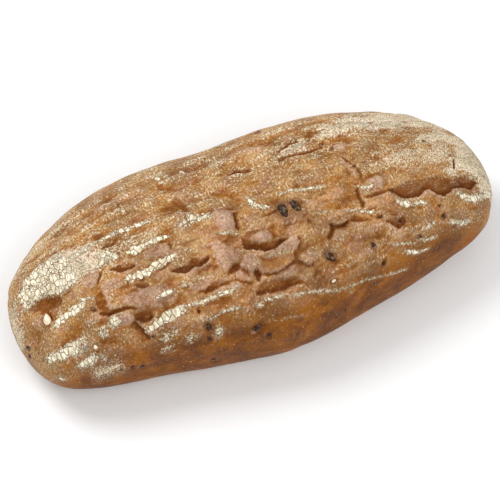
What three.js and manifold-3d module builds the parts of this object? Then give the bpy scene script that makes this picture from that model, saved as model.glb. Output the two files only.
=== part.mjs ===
// A long rye loaf, proved in an oblong cane basket and baked free on the oven floor: one solid.
// Millimetres. X runs along the loaf, Y across it and +Z up. The origin is the middle of the
// loaf's box, on the flat underside that it stands on. -Y is called its front.

import * as THREE from "three";
import { mergeVertices } from "three/addons/utils/BufferGeometryUtils.js";
import Module from "manifold-3d";

// Driving dimensions.
const LENGTH = 300;
const GIRTH_HEIGHT = 34; // height of the line where the loaf is widest
const UNDER_DEPTH = 44; // depth of the round underside, before the table cuts it flat

// At nine even stations from the -X end to the +X end. The rounding of the ends takes each
// profile to nothing there, so its first and last values only set how blunt an end is.
const FRONT_REACH = [79, 63, 57, 61, 67, 63, 61, 63, 77]; // a belly between two waists
const BACK_REACH = [65, 70, 72, 71, 68, 69, 70, 68, 67];
const CROWN_HEIGHT = [76, 79, 81, 80, 80, 82, 82, 80, 74];
const RIGHT_END_SKEW = -0.08; // the +X end runs out further on its front side than behind

// Superellipse exponents: 2 is a plain ellipse, and more is squarer.
const PLAN_SQUARENESS = 2.4; // outline seen from above
const SIDE_SQUARENESS = 2.7; // outline seen from the front
const DOME_SQUARENESS = 2.3; // cross-section above the girth
const UNDER_SQUARENESS = 3.2; // cross-section below the girth

// Broad swellings of the crown, where the dough rose a little more or less.
const SWELLS = [
  { x: -95, y: 10, reach: 38, rise: 1.5 },
  { x: -45, y: -25, reach: 34, rise: 1.2 },
  { x: -20, y: 30, reach: 30, rise: -1.5 },
  { x: 30, y: -5, reach: 30, rise: -1.2 },
  { x: 75, y: 25, reach: 36, rise: 1.8 },
];

const SEGMENTS_ROUND = 76;
const SEGMENTS_ALONG = 54;
const CRUST = { color: 0xab8660, roughness: 0.75, metalness: 0 };

const signedPower = (value, power) => Math.sign(value) * Math.abs(value) ** power;

// A smooth curve through a profile's values, read at share 0 (-X end) to 1 (+X end).
function profile(values) {
  const curve = new THREE.SplineCurve(values.map((v, i) => new THREE.Vector2(i, v)));
  return (share) => curve.getPoint(share).y;
}

const frontReach = profile(FRONT_REACH);
const backReach = profile(BACK_REACH);
const crownHeight = profile(CROWN_HEIGHT);

function swellAt(x, y) {
  return SWELLS.reduce((sum, s) => {
    const far = ((x - s.x) ** 2 + (y - s.y) ** 2) / s.reach ** 2;
    return sum + s.rise * Math.exp(-far);
  }, 0);
}

// Where a point of the unit sphere, with its poles on X, goes on the loaf.
function ontoLoaf({ x, y, z }) {
  const ring = Math.hypot(y, z);
  const along = signedPower(x, 2 / PLAN_SQUARENESS);
  const share = (along + 1) / 2;
  const width = ring ** (2 / PLAN_SQUARENESS);
  const height = ring ** (2 / SIDE_SQUARENESS);
  const side = ring > 0 ? y / ring : 0;
  const up = ring > 0 ? z / ring : 0;

  const squareness = up > 0 ? DOME_SQUARENESS : UNDER_SQUARENESS;
  const reach = y < 0 ? frontReach(share) : backReach(share);
  const rise = up > 0 ? crownHeight(share) - GIRTH_HEIGHT : UNDER_DEPTH;
  const point = new THREE.Vector3(
    (along * LENGTH) / 2,
    signedPower(side, 2 / squareness) * reach * width,
    signedPower(up, 2 / squareness) * rise * height,
  );
  point.x += RIGHT_END_SKEW * share ** 4 * point.y;
  if (up > 0) point.z += swellAt(point.x, point.y) * up * height;
  point.z += GIRTH_HEIGHT;
  return point;
}

function doughGeometry() {
  const geometry = new THREE.SphereGeometry(1, SEGMENTS_ROUND, SEGMENTS_ALONG);
  geometry.rotateZ(-Math.PI / 2);
  const position = geometry.attributes.position;
  const point = new THREE.Vector3();
  for (let i = 0; i < position.count; i++) {
    point.copy(ontoLoaf(point.fromBufferAttribute(position, i)));
    position.setXYZ(i, point.x, point.y, point.z);
  }
  return geometry;
}

const wasm = await Module();
wasm.setup();

function solidOf(geometry) {
  geometry.deleteAttribute("normal");
  geometry.deleteAttribute("uv");
  const merged = mergeVertices(geometry, 1e-3);
  return new wasm.Manifold(
    new wasm.Mesh({
      numProp: 3,
      vertProperties: merged.attributes.position.array,
      triVerts: new Uint32Array(merged.index.array),
    }),
  );
}

function geometryOf(solid) {
  const mesh = solid.getMesh();
  const geometry = new THREE.BufferGeometry();
  geometry.setAttribute("position", new THREE.BufferAttribute(mesh.vertProperties, 3));
  geometry.setIndex(new THREE.BufferAttribute(mesh.triVerts, 1));
  return geometry;
}

// The oven floor cuts the round underside off flat at Z = 0.
function loafGeometry() {
  const floorDepth = 2 * UNDER_DEPTH;
  const ovenFloor = new THREE.BoxGeometry(2 * LENGTH, 2 * LENGTH, floorDepth);
  ovenFloor.translate(0, 0, -floorDepth / 2);
  const geometry = geometryOf(solidOf(doughGeometry()).subtract(solidOf(ovenFloor)));

  // The two sides reach out unequally, so the loaf is moved across to stand in the middle.
  geometry.computeBoundingBox();
  const middle = geometry.boundingBox.getCenter(new THREE.Vector3());
  geometry.translate(-middle.x, -middle.y, 0);
  geometry.computeVertexNormals();
  return geometry;
}

const loaf = new THREE.Mesh(loafGeometry(), new THREE.MeshStandardMaterial(CRUST));
loaf.name = "loaf";

const part = new THREE.Group();
part.add(loaf);

export default part;
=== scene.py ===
import math

import bpy
import numpy as np
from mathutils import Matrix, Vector
from mathutils.bvhtree import BVHTree


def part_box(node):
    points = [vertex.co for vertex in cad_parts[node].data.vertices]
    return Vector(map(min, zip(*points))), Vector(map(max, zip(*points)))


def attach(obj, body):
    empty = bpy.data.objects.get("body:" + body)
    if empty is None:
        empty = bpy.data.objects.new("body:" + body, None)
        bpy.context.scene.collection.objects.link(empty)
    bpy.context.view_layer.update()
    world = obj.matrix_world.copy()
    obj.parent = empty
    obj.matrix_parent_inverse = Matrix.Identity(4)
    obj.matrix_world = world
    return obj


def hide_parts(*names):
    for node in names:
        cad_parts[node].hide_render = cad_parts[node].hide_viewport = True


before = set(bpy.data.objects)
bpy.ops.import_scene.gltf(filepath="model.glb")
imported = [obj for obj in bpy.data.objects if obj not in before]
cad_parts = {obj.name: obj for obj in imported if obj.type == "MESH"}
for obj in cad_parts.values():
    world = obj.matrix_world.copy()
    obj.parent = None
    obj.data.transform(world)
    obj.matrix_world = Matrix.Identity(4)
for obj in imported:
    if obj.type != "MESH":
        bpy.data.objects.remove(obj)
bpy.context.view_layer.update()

# An oval rye loaf, proved in a cane basket and baked free, so its crust is wrinkled, torn and
# floured. Everything below is in millimetres until it becomes a Blender object, in metres.
#
# Places on the crust are given on a chart: the crust unrolled flat from its crown. u runs along
# the loaf (+X), v down its sides (minus to the front), and both are millimetres on the crust.
# The chart turns about a spine inside the loaf, straight for most of its length, and fans out
# about the spine's two ends.

MM = 0.001  # in metres
low, high = (np.array(corner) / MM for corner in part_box("loaf"))
LENGTH, _, HEIGHT = high - low

CAP_LENGTH = 55  # the spine stops this far short of each end
SPINE_HALF = LENGTH / 2 - CAP_LENGTH
SPINE_HEIGHT = 0.395 * HEIGHT
CHART_RADIUS = 59  # chart millimetres for each radian of turn about the spine
HALF_TURN = math.pi * CHART_RADIUS  # chart distance from the crown to the middle underneath
UNDERSIDE = 118  # chart distance from the crown at which the flat underside begins
CROWN_SLACK = 0.8  # relief that stands further than this above the CAD solid's top is flattened
CROWN_SQUASH = 0.65  # by this share of how much further it stands
END_REACH = 1.2  # how much further than the CAD solid the right end reaches
BACK_TRIM = 0.6  # how far inside it the crust stays, down the back
FRONT_TRIM = 0.5  # and low on the front
EDGE_RAMP = 2.4  # millimetres over which a field crosses an edge drawn on the chart
PATCH_RAMP = 4.5  # the same, where flour is caked in a patch, which thins out at its edge

ROWS_ON_SPINE = 190
ROWS_ON_CAP = 88
CAP_TURN = math.pi / 2
# Columns of the grid, as stretches of chart distance from underneath at the front, over the
# crown, to underneath at the back: (where each stretch ends, how many columns it has).
COLUMN_STRETCHES = [(-104, 20), (70, 204), (108, 28), (HALF_TURN, 16)]

# Flour that stuck to the crust, in lines: (points on the chart, half width, strength).
FLOUR_LINES = [
    # the left end
    ([(-144, -28), (-138, -27), (-129, -26), (-120, -26), (-115, -25)], 3.0, 1.0),
    ([(-117, -22), (-110, -22), (-106, -24)], 1.6, 0.75),
    ([(-96, -22), (-90, -22), (-84, -22)], 1.8, 0.6),
    ([(-84, -20), (-70, -20), (-62, -18), (-55, -17), (-52, -16)], 2.5, 0.95),
    ([(-75, -1), (-70, -2), (-66, -1)], 2.6, 1.0),
    ([(-66, -1), (-60, 0), (-52, 1), (-50, 0)], 1.9, 1.0),
    # the middle
    ([(-46, -15), (-42, -16)], 1.3, 0.9),
    ([(-70, -39), (-66, -38), (-59, -38)], 1.7, 1.0),
    ([(-55, -36), (-50, -38), (-48, -39)], 1.5, 0.8),
    ([(-45, -37), (-41, -36)], 1.0, 1.0),
    ([(-80, -58), (-72, -54), (-66, -52), (-60, -51), (-57, -52)], 2.7, 1.0),
    ([(-57, -49), (-50, -50), (-45, -50), (-38, -49), (-31, -49), (-24, -48)], 1.4, 0.95),
    ([(-49, -60), (-44, -61), (-38, -59), (-30, -59), (-24, -60)], 1.0, 0.9),
    ([(-24, -11), (-19, -13), (-15, -15), (-12, -18)], 1.0, 1.0),
    ([(-4, -38), (4, -38), (13, -40)], 0.8, 0.8),
    ([(0, -38), (3, -39)], 1.2, 1.0),
    ([(2, 8), (3, 3), (3, -2)], 2.0, 1.0),
    ([(5, -1), (8, -4), (12, -5)], 1.7, 1.0),
    ([(20, 1), (28, 1), (34, -2), (41, -4), (48, -6)], 1.1, 0.95),
    ([(35, -22), (42, -24), (50, -27)], 1.1, 0.65),
    ([(53, -28), (59, -30)], 1.3, 0.85),
    ([(59, -31), (66, -34), (71, -36)], 1.4, 0.9),
    ([(71, -37), (75, -41)], 1.1, 1.0),
    ([(39, -42), (42, -43)], 0.8, 1.0),
    ([(25, -42), (26, -44)], 0.9, 1.0),
    ([(24, -54), (27, -56)], 0.9, 1.0),
    ([(39, -57), (42, -60)], 0.8, 1.0),
    ([(61, -47), (66, -49)], 1.2, 0.6),
    ([(77, -53), (78, -55)], 1.1, 0.9),
    ([(65, -14), (69, -18), (73, -17)], 1.8, 0.85),
    ([(72, -13), (77, -13)], 1.6, 0.7),
    # long thin lines low on the front
    ([(-18, -60), (-12, -60), (-2, -60), (4, -62), (10, -63), (16, -64), (22, -66), (30, -69)], 0.8, 1.0),
    ([(30, -69), (38, -71), (50, -72), (56, -74), (62, -76), (73, -79), (79, -81)], 0.75, 0.9),
    ([(-17, -61), (-14, -61)], 1.4, 1.0),
    ([(28, -69), (32, -70)], 1.6, 0.7),
    ([(38, -72), (40, -75)], 1.5, 0.65),
    ([(-15, -72), (-10, -72), (-6, -74), (0, -73), (5, -75), (10, -76)], 0.5, 0.75),
    # the right-hand side
    ([(84, -34), (88, -37), (92, -40)], 2.2, 1.0),
    ([(92, -40), (97, -40), (101, -42)], 2.0, 1.0),
    ([(134, -41), (140, -44), (147, -45), (150, -42)], 3.0, 0.95),
    ([(152, -44), (160, -41), (170, -38)], 2.8, 0.85),
    ([(73, -59), (80, -61), (86, -64)], 1.2, 1.0),
    ([(89, -63), (97, -67), (103, -67)], 1.2, 0.95),
    ([(84, -53), (88, -57), (90, -60)], 0.8, 0.8),
    ([(94, -58), (98, -57), (105, -57)], 1.7, 0.85),
    ([(120, -60), (124, -61), (127, -62)], 2.0, 0.95),
    ([(128, -63), (134, -62), (140, -61)], 2.4, 0.95),
    ([(79, -66), (83, -69), (87, -72)], 1.5, 1.0),
    ([(87, -72), (92, -73), (95, -74)], 1.3, 0.9),
    ([(69, -78), (76, -80), (79, -82)], 1.0, 0.8),
    # the back
    ([(-112, 18), (-100, 18), (-92, 19)], 2.6, 0.75),
    ([(-92, 19), (-80, 19), (-70, 18), (-60, 18), (-53, 17)], 1.9, 0.8),
    ([(-94, 28), (-88, 29), (-80, 28), (-75, 27)], 1.8, 0.55),
    ([(-52, 35), (-46, 38), (-40, 39)], 1.8, 0.6),
    ([(43, 19), (50, 20), (57, 18)], 1.3, 0.65),
    ([(36, 31), (42, 33), (48, 32)], 1.6, 0.6),
    ([(68, 38), (76, 39), (85, 37), (92, 37)], 3.2, 0.65),
    ([(92, 37), (108, 34), (118, 35)], 1.8, 0.6),
    ([(95, 11), (105, 12), (115, 13)], 1.4, 0.45),
    ([(115, 13), (122, 12), (130, 16), (140, 19), (148, 21)], 1.6, 0.55),
    ([(122, 12), (132, 9), (143, 9), (155, 9)], 1.6, 0.5),
    ([(89, 3), (97, 4), (107, 3)], 1.3, 0.65),
    ([(107, 3), (118, 3), (128, 4), (140, 3), (148, 3)], 1.5, 0.45),
    ([(68, 15), (75, 14), (82, 16)], 1.6, 0.5),
    ([(90, -13), (100, -15), (112, -17)], 2.6, 0.35),
]

# Flour in patches: (outline on the chart, strength).
FLOUR_PATCHES = [
    ([(-161, 19), (-155, 24), (-146, 28), (-128, 30), (-118, 30), (-112, 22), (-113, 8), (-112, -4),
      (-124, -7), (-131, -7), (-140, -3), (-150, -1), (-161, -2)], 0.9),
    ([(-177, 8), (-168, 16), (-160, 20), (-160, -2), (-170, -6)], 0.6),
    ([(-115, 29), (-106, 21), (-100, 8), (-96, -3), (-112, -5)], 0.55),
    ([(-95, -1), (-92, 3), (-91, 9), (-84, 9), (-83, 4), (-81, 0), (-82, -2), (-90, -3)], 1.0),
    ([(-158, -43), (-150, -44), (-140, -45), (-131, -46), (-124, -47), (-124, -55), (-133, -56),
      (-142, -54), (-150, -50), (-157, -51)], 1.0),
    ([(-138, -62), (-130, -60), (-121, -61), (-119, -64), (-122, -68), (-130, -68), (-136, -66)], 1.0),
    ([(-160, -61), (-156, -62), (-155, -68), (-159, -66)], 0.9),
    ([(-118, -64), (-113, -66), (-112, -71), (-116, -72), (-118, -68)], 0.7),
    ([(-101, -44), (-97, -41), (-94, -41), (-95, -48), (-99, -50), (-104, -47)], 1.0),
    ([(-113, -47), (-108, -46), (-104, -48), (-105, -52), (-110, -54)], 1.0),
    ([(-45, 4), (-39, 9), (-33, 12), (-25, 9), (-21, 6), (-24, 3), (-31, 3), (-38, 1)], 0.9),
    ([(-75, -68), (-72, -64), (-67, -61), (-63, -63), (-66, -67), (-72, -70)], 0.85),
    ([(-62, -72), (-58, -68), (-55, -70), (-59, -74)], 0.85),
    ([(-76, -79), (-73, -74), (-70, -75), (-72, -80)], 0.85),
    ([(-45, -70), (-41, -68), (-39, -72), (-43, -74)], 0.85),
    ([(146, -6), (156, 4), (172, 6), (182, -8), (176, -30), (162, -30), (156, -20)], 0.5),
    ([(-166, -40), (-145, -41), (-128, -43), (-116, -52), (-112, -64), (-122, -72), (-145, -70),
      (-165, -60)], 0.42),
]

# Where flour lies as a soft powder, not caked: (outline on the chart, strength).
POWDER = [
    ([(-187, -22), (-184, 6), (-174, 14), (-166, 0), (-169, -16), (-176, -28)], 0.85),
    ([(-124, 32), (-100, 26), (-88, 10), (-94, -4), (-114, -5), (-118, 8)], 1.1),
    ([(-172, 26), (-150, 38), (-124, 48), (-98, 50), (-94, 60), (-130, 60), (-160, 46)], 0.8),
    ([(-130, -75), (-106, -76), (-104, -84), (-130, -86)], 0.9),
    ([(137, -21), (147, -17), (157, -27), (158, -38), (172, -46), (185, -36), (186, -4), (176, 14),
      (160, 8), (150, -4)], 1.35),
    ([(116, 12), (146, 9), (160, 6), (168, 16), (150, 26), (126, 20)], 1.0),
    ([(58, 33), (92, 30), (122, 32), (158, 26), (166, 42), (150, 58), (100, 56), (66, 46)], 1.15),
    ([(28, 28), (46, 29), (52, 36), (34, 38)], 1.0),
    ([(74, -4), (84, 10), (116, 8), (148, 8), (152, -4), (138, -14), (110, -12)], 0.78),
    ([(-96, -12), (-84, 16), (-60, 18), (-52, 6), (-62, -2), (-80, -6)], 0.6),
]

# Crumbs of flour stuck on: (u, v, half length, half width).
CRUMBS = [
    (-68, 33, 1.1, 1.6), (-40, 51, 1.5, 2.4), (-35, 50, 1.5, 1.5), (-25, 49, 1.4, 2.6),
]

# Parts of the crust with their own colour and level, or painted shade: (finish, lift,
# outline on the chart). "film" is dulled pink by a trace of flour, "bare" is smooth and orange,
# and the sunken, deep brown kind is painted shade.
AREAS = [
    # the middle
    ("bare", 0.0, [(5, -18), (13, -19), (16, -23), (12, -28), (5, -27), (6, -23)]),
    ("film", 0.9, [(-21, 4), (-18, 8), (-14, 4), (-8, 2), (-9, -1), (-14, 0), (-20, -3)]),
    ("film", 0.9, [(-21, -3), (-14, 0), (-10, -1), (-11, -6), (-12, -14), (-16, -15), (-22, -9)]),
    ("film", 0.5, [(-30, -16), (-24, -16), (-21, -21), (-18, -26), (-13, -29), (-18, -32), (-21, -35),
        (-23, -38), (-28, -38), (-31, -32), (-30, -24)]),
    ("film", 0.8, [(-5, -22), (0, -22), (4, -24), (5, -27), (4, -29), (-1, -29), (-4, -25)]),
    ("film", 0.5, [(8, -33), (13, -32), (19, -31), (19, -36), (16, -40), (8, -38), (6, -35)]),
    ("film", 0.9, [(-14, -33), (-9, -34), (-8, -38), (-10, -43), (-14, -46), (-16, -41), (-20, -38)]),
    ("film", 0.4, [(-25, -40), (-20, -38), (-16, -41), (-14, -46), (-16, -47), (-22, -44)]),
    ("film", 0.4, [(0, -48), (10, -45), (12, -47), (9, -52), (5, -54), (0, -52), (-3, -49)]),
    ("bare", 1.0, [(-10, -43), (-8, -39), (0, -41), (8, -40), (13, -41), (12, -44), (5, -46), (1, -48),
        (-4, -47), (-8, -46)]),
    ("sunken_shade", -0.9, [(-11, -42), (-9, -46), (-12, -49), (-15, -46)]),
    ("film", 0.3, [(-64, -4), (-58, -3), (-53, -5), (-52, -8), (-54, -12), (-60, -13), (-66, -12),
        (-68, -9)]),
    ("film", 0.6, [(-49, -38), (-40, -37), (-38, -41), (-42, -44), (-49, -43), (-50, -40)]),
    ("film", 0.3, [(-92, -31), (-78, -30), (-62, -32), (-58, -40), (-62, -46), (-76, -45), (-84, -39)]),
    ("bare", 0.0, [(-56, -53), (-50, -52), (-45, -54), (-36, -52), (-28, -54), (-22, -55), (-22, -58),
        (-35, -58), (-50, -58)]),
    ("bare", 0.4, [(43, -12), (48, -11), (52, -9), (55, -11), (57, -14), (54, -17), (47, -17), (42, -15)]),
    ("film", 0.8, [(72, -12), (78, -11), (80, -16), (78, -21), (74, -20)]),
    ("bare", 0.5, [(66, -27), (72, -26), (80, -27), (84, -28), (83, -32), (76, -33), (70, -32), (67, -30)]),
    ("sunken_shade", -0.6, [(79, -44), (86, -46), (88, -49), (82, -52), (78, -49)]),
    # the left end
    ("film", 0.4, [(-112, -5), (-97, -4), (-95, -5), (-98, -10), (-101, -14), (-106, -15), (-110, -12)]),
    ("film", 0.3, [(-99, -16), (-92, -15), (-85, -17), (-84, -22), (-90, -24), (-96, -25), (-96, -32),
        (-94, -35), (-98, -36), (-99, -28), (-98, -20)]),
    ("sunken_shade", -0.5, [(-106, -24), (-99, -21), (-98, -30), (-99, -37), (-104, -37), (-107, -31)]),
    ("film", 0.9, [(-94, -42), (-89, -41), (-87, -44), (-86, -48), (-90, -50), (-94, -49)]),
    ("sunken_shade", -0.6, [(-159, -2), (-150, 0), (-142, -2), (-134, -6), (-131, -12), (-136, -17), (-139, -23),
                    (-142, -26), (-146, -22), (-146, -16), (-150, -15), (-152, -8), (-156, -6)]),
    # the back
    ("sunken_shade", -0.7, [(-40, 28), (-36, 29), (-33, 22), (-32, 13), (-35, 13), (-37, 21)]),
    ("film", 0.4, [(62, 24), (68, 24), (70, 20), (66, 17), (62, 18)]),
]

# Torn hollows. The crust slopes down from the back edge to the front edge, where a lip stands
# over it: (back edge, front edge, depth at the front edge). Both edges run towards +u.
HOLLOWS = [
    ([(-57, -24), (-53, -25), (-47, -25), (-43, -22), (-38, -24), (-33, -24), (-29, -29)],
     [(-57, -26), (-54, -28), (-49, -30), (-43, -28), (-40, -29), (-36, -28), (-33, -26), (-29, -31)], 3.2),
    ([(-13, -26), (-11, -20), (-8, -23), (-6, -25), (-3, -28), (2, -30), (9, -29), (14, -31)],
     [(-13, -27), (-11, -30), (-8, -30), (-5, -32), (-2, -34), (4, -35), (9, -33), (14, -32)], 3.8),
    ([(80, -22), (85, -23), (95, -22), (106, -23), (117, -24), (125, -24), (130, -26), (134, -29),
      (140, -27), (148, -26), (155, -29)],
     [(80, -23), (85, -28), (88, -33), (93, -35), (99, -36), (104, -34), (109, -33), (112, -36),
      (116, -39), (122, -41), (128, -39), (133, -36), (137, -36), (141, -36), (148, -38), (155, -33)], 2.6),
    ([(-15, -53), (-9, -49), (0, -50), (8, -52), (13, -56)],
     [(-15, -56), (-8, -57), (2, -58), (8, -58), (13, -58)], 2.0),
    ([(-43, -44), (-38, -41), (-33, -41), (-25, -44)], [(-43, -46), (-38, -46), (-33, -45), (-25, -45)], 1.8),
    ([(-27, -38), (-21, -34), (-19, -36)], [(-27, -40), (-23, -40), (-19, -38)], 1.6),
    ([(-89, -6), (-82, -7), (-77, -9), (-74, -11)], [(-89, -8), (-83, -13), (-78, -14), (-74, -13)], 2.2),
    ([(-109, -33), (-104, -36), (-99, -37), (-93, -37), (-88, -37), (-83, -40)],
     [(-109, -34), (-104, -39), (-99, -41), (-93, -40), (-88, -40), (-83, -42)], 2.8),
    ([(-86, -45), (-80, -44), (-75, -47)], [(-86, -48), (-80, -53), (-75, -50)], 1.8),
    ([(4, -10), (9, -9), (13, -8), (17, -7)], [(4, -11), (9, -12), (13, -11), (17, -8)], 1.5),
    ([(70, -41), (74, -42), (78, -43), (84, -44)], [(70, -42), (74, -45), (79, -51), (84, -49)], 2.0),
    ([(52, -33), (56, -32), (59, -35), (63, -37)], [(52, -35), (56, -37), (59, -38), (63, -38)], 1.8),
    ([(65, -21), (70, -22), (76, -22), (81, -23)], [(65, -23), (70, -25), (76, -25), (81, -25)], 1.5),
    ([(-79, -25), (-75, -26), (-72, -27)], [(-79, -28), (-75, -30), (-72, -30)], 1.2),
    # the back
    ([(-3, 33), (4, 35), (7, 33), (11, 31)], [(-3, 32), (4, 31), (7, 29), (11, 28)], 1.8),
    ([(29, 29), (36, 29), (45, 27), (57, 27)], [(29, 26), (36, 26), (45, 24), (57, 25)], 1.5),
    ([(32, 36), (38, 38), (45, 40)], [(32, 34), (38, 35), (45, 36)], 1.3),
    ([(-89, 13), (-84, 14), (-80, 12)], [(-89, 11), (-84, 10), (-80, 10)], 1.4),
]

# Steps, where one sheet of crust ends above the next: (points on the chart, how far the drop
# runs out, depth, the side that lies lower).
BACK, FRONT = 1, -1  # to the left and to the right of a line followed from its first point
STEPS = [
    ([(39, -31), (41, -32), (43, -34), (47, -35), (49, -34), (52, -33)], 4, 2.6, FRONT),
    ([(-10, 1), (-11, -6), (-12, -15)], 3, 2.0, BACK),
    ([(-53, -5), (-52, -8), (-53, -12)], 2.5, 1.5, BACK),
    ([(-10, -42), (-9, -45), (-5, -47), (1, -48), (6, -47), (12, -45)], 3, 1.4, FRONT),
    ([(-20, -38), (-16, -41), (-14, -46)], 2.5, 1.0, FRONT),
    ([(-25, -41), (-22, -45), (-16, -48), (-14, -47)], 2.5, 1.2, FRONT),
    ([(-66, -22), (-60, -21), (-54, -19)], 2.5, 1.0, FRONT),
    ([(-95, -5), (-96, -9), (-99, -12), (-100, -15)], 2.2, 2.0, BACK),
    ([(-86, -47), (-84, -54), (-82, -60), (-80, -66)], 8, 2.0, FRONT),
    ([(64, -14), (64, -20), (64, -26), (63, -31)], 3.5, 2.0, FRONT),
    ([(68, 25), (63, 24), (60, 21), (61, 17)], 2, 1.2, BACK),
    ([(14, -44), (16, -48), (20, -50), (24, -49)], 2.5, 1.2, FRONT),
    ([(19, -31), (19, -36), (15, -41)], 2, 0.9, BACK),
    ([(-48, -43), (-42, -44), (-38, -41)], 2, 0.9, FRONT),
]

# Cracks with two even lips: (points on the chart, half width, depth).
CRACKS = [
    ([(42, -33), (40, -36), (37, -39), (35, -42)], 1.3, 1.8),
    ([(-10, -42), (-11, -45), (-12, -50)], 1.2, 1.6),
    ([(28, -21), (29, -25), (31, -27)], 0.6, 0.9),
    ([(148, -8), (146, -12), (144, -17), (141, -20)], 0.8, 1.5),
    ([(63, 13), (65, 9), (66, 6)], 0.8, 0.9),
    ([(69, 1), (70, -5), (68, -10)], 0.8, 0.6),
]

# Thin raised creases: points on the chart.
CREASES = [
    [(62, 13), (64, 7), (66, 0), (67, -8)],
    [(-73, 43), (-66, 45), (-58, 46)],
    [(-42, 47), (-34, 46), (-27, 45)],
]

# Swellings and dimples: (u, v, half length, half width, turn in degrees, height).
LUMPS = [
    (-16, -4, 7, 9, 15, 2.8), (-1, -25, 6, 4.5, 0, 3.2), (20, -46, 5.5, 4.2, 0, 2.8),
    (75, -15, 6.5, 5, 0, 1.7), (-90, -46, 5.5, 4.5, 0, 1.6), (-112, -38, 7, 4.5, 0, 1.4),
    (-146, -7, 13, 7, -20, -3.2), (-147, -19, 5, 5, 0, -1.6), (-154, -19, 4, 9, 30, 1.4),
    (-101, -29, 5, 9, 0, -0.9), (-76, -36, 12, 6, 0, 1.4), (-60, -8, 9, 5, 0, 1.2),
    (-49, -20, 5, 5, 0, 1), (-25, -31, 7, 6, 0, 1.2), (-12, -38, 6, 5, 0, 1.2),
    (5, -49, 8, 4, 0, 1), (-36, -36, 9, 4, 0, 1.2), (-50, -34, 7, 4, 0, 1), (46, -30, 8, 5, 0, 1.6),
    (48, -40, 10, 4, 0, 1), (36, -13, 8, 4, 0, 1), (50, -13, 7, 4, 0, 1.2), (75, -30, 9, 4, 0, 1.4),
    (66, -42, 8, 4, 0, 1.2), (-150, -34, 14, 6, 0, 1), (-135, -53, 14, 5, 0, 1.2),
    (-99, -46, 6, 4, 0, 1), (45, 36, 14, 6, 0, 1.2), (66, 21, 6, 4.5, 20, 1.4),
    (-25, 30, 16, 6, 0, 1), (12, 42, 16, 7, 0, 1), (80, 38, 14, 5, 0, 1),
    (182, -12, 26, 34, 0, 3.4),
]

# Seeds baked into the crust: (u, v, length, heading in degrees on the chart).
DARK_SEEDS = [
    (18, -12, 13.0, -84), (26, -13, 12.0, -76), (33, -50, 8.0, -60), (-21, -76, 9.6, 35),
    (-47, -66, 7.2, 92), (-14, -83, 4.0, 100), (60, -54, 4.8, 98), (64, -67, 4.4, 60),
    (57, -80, 4.0, 100), (115, -55, 5.4, 38), (90, -61, 3.2, -60), (104, -79, 4.6, 20),
    (68, 2, 3.0, 40), (57, 28, 3.2, 30), (128, 13, 3.2, -60), (29, 62, 5.0, 80),
    (-88, -91, 4.6, 100), (-94, -87, 3.8, 110), (-47, -99, 4.4, 80), (36, -90, 2.8, 80),
    (-170, -28, 4.6, -40), (-174, -33, 4.2, 10), (-110, -32, 3.8, -40), (70, -39, 3.6, -10),
    (-48, -75, 4.0, 95), (-79, -63, 2.6, 110), (-50, -55, 2.6, 90), (30, -90, 2.6, 80),
    (113, -47, 3.2, 10), (81, -47, 3.6, 60), (-105, -86, 3.0, -30), (3, -87, 3.0, 100),
    (-96, 88, 5.4, 15), (-60, 94, 4.8, 80), (-24, 86, 4.0, -30), (8, 92, 5.6, 25),
    (52, 88, 4.6, 60), (74, 98, 5.2, -15), (104, 88, 4.0, 45), (-8, 104, 4.2, 5),
]
PALE_SEEDS = [
    (-148, -20, 8.6, 84), (31, -64, 3.4, 10), (-119, -57, 4.6, 92), (-86, 98, 4.6, 40),
    (38, 92, 5.0, -35), (96, 96, 4.2, 15), (-118, 80, 4.4, 60),
]


# ---------------------------------------------------------------- noise and chart mathematics


# For random numbers: 32 bits, and odd multipliers and shifts that stir them.
LOW_BITS = 0xFFFFFFFF
SEED_MIXER = 0x9E3779B1
ROUNDS = ((0x85EBCA6B, 13), (0xC2B2AE35, 16))
NOISE_GAIN = 1.6  # brings noise of random slopes to about -1 to 1


def smoothstep(low_edge, high_edge, value):
    share = np.clip((value - low_edge) / (high_edge - low_edge), 0, 1)
    return share * share * (3 - 2 * share)


def scatter(seed, *cell):
    """An even random number from 0 to 1 for each whole-numbered cell."""
    mixed = np.full(cell[0].shape, seed * SEED_MIXER & LOW_BITS, np.uint64)
    for part in cell:
        mixed = mixed ^ (part.astype(np.int64) & LOW_BITS).astype(np.uint64)
        for mixer, shift in ROUNDS:
            mixed = (mixed * np.uint64(mixer)) & np.uint64(LOW_BITS)
            mixed = mixed ^ (mixed >> np.uint64(shift))
    return mixed.astype(np.float64) / LOW_BITS


def noise(seed, *axes):
    """Smooth noise, from about -1 to 1, over coordinates in two or three axes."""
    cells = [np.floor(axis) for axis in axes]
    shares = [axis - cell for axis, cell in zip(axes, cells)]
    fades = [share**3 * (share * (share * 6 - 15) + 10) for share in shares]
    total = 0
    for corner in np.ndindex(*(2,) * len(axes)):
        weight = 1
        slope = 0
        at = [cell + step for cell, step in zip(cells, corner)]
        for axis, step in enumerate(corner):
            weight = weight * (fades[axis] if step else 1 - fades[axis])
            lean = scatter(seed * 7 + axis, *at) * 2 - 1
            slope = slope + lean * (shares[axis] - step)
        total = total + weight * slope
    return total * NOISE_GAIN


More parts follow.
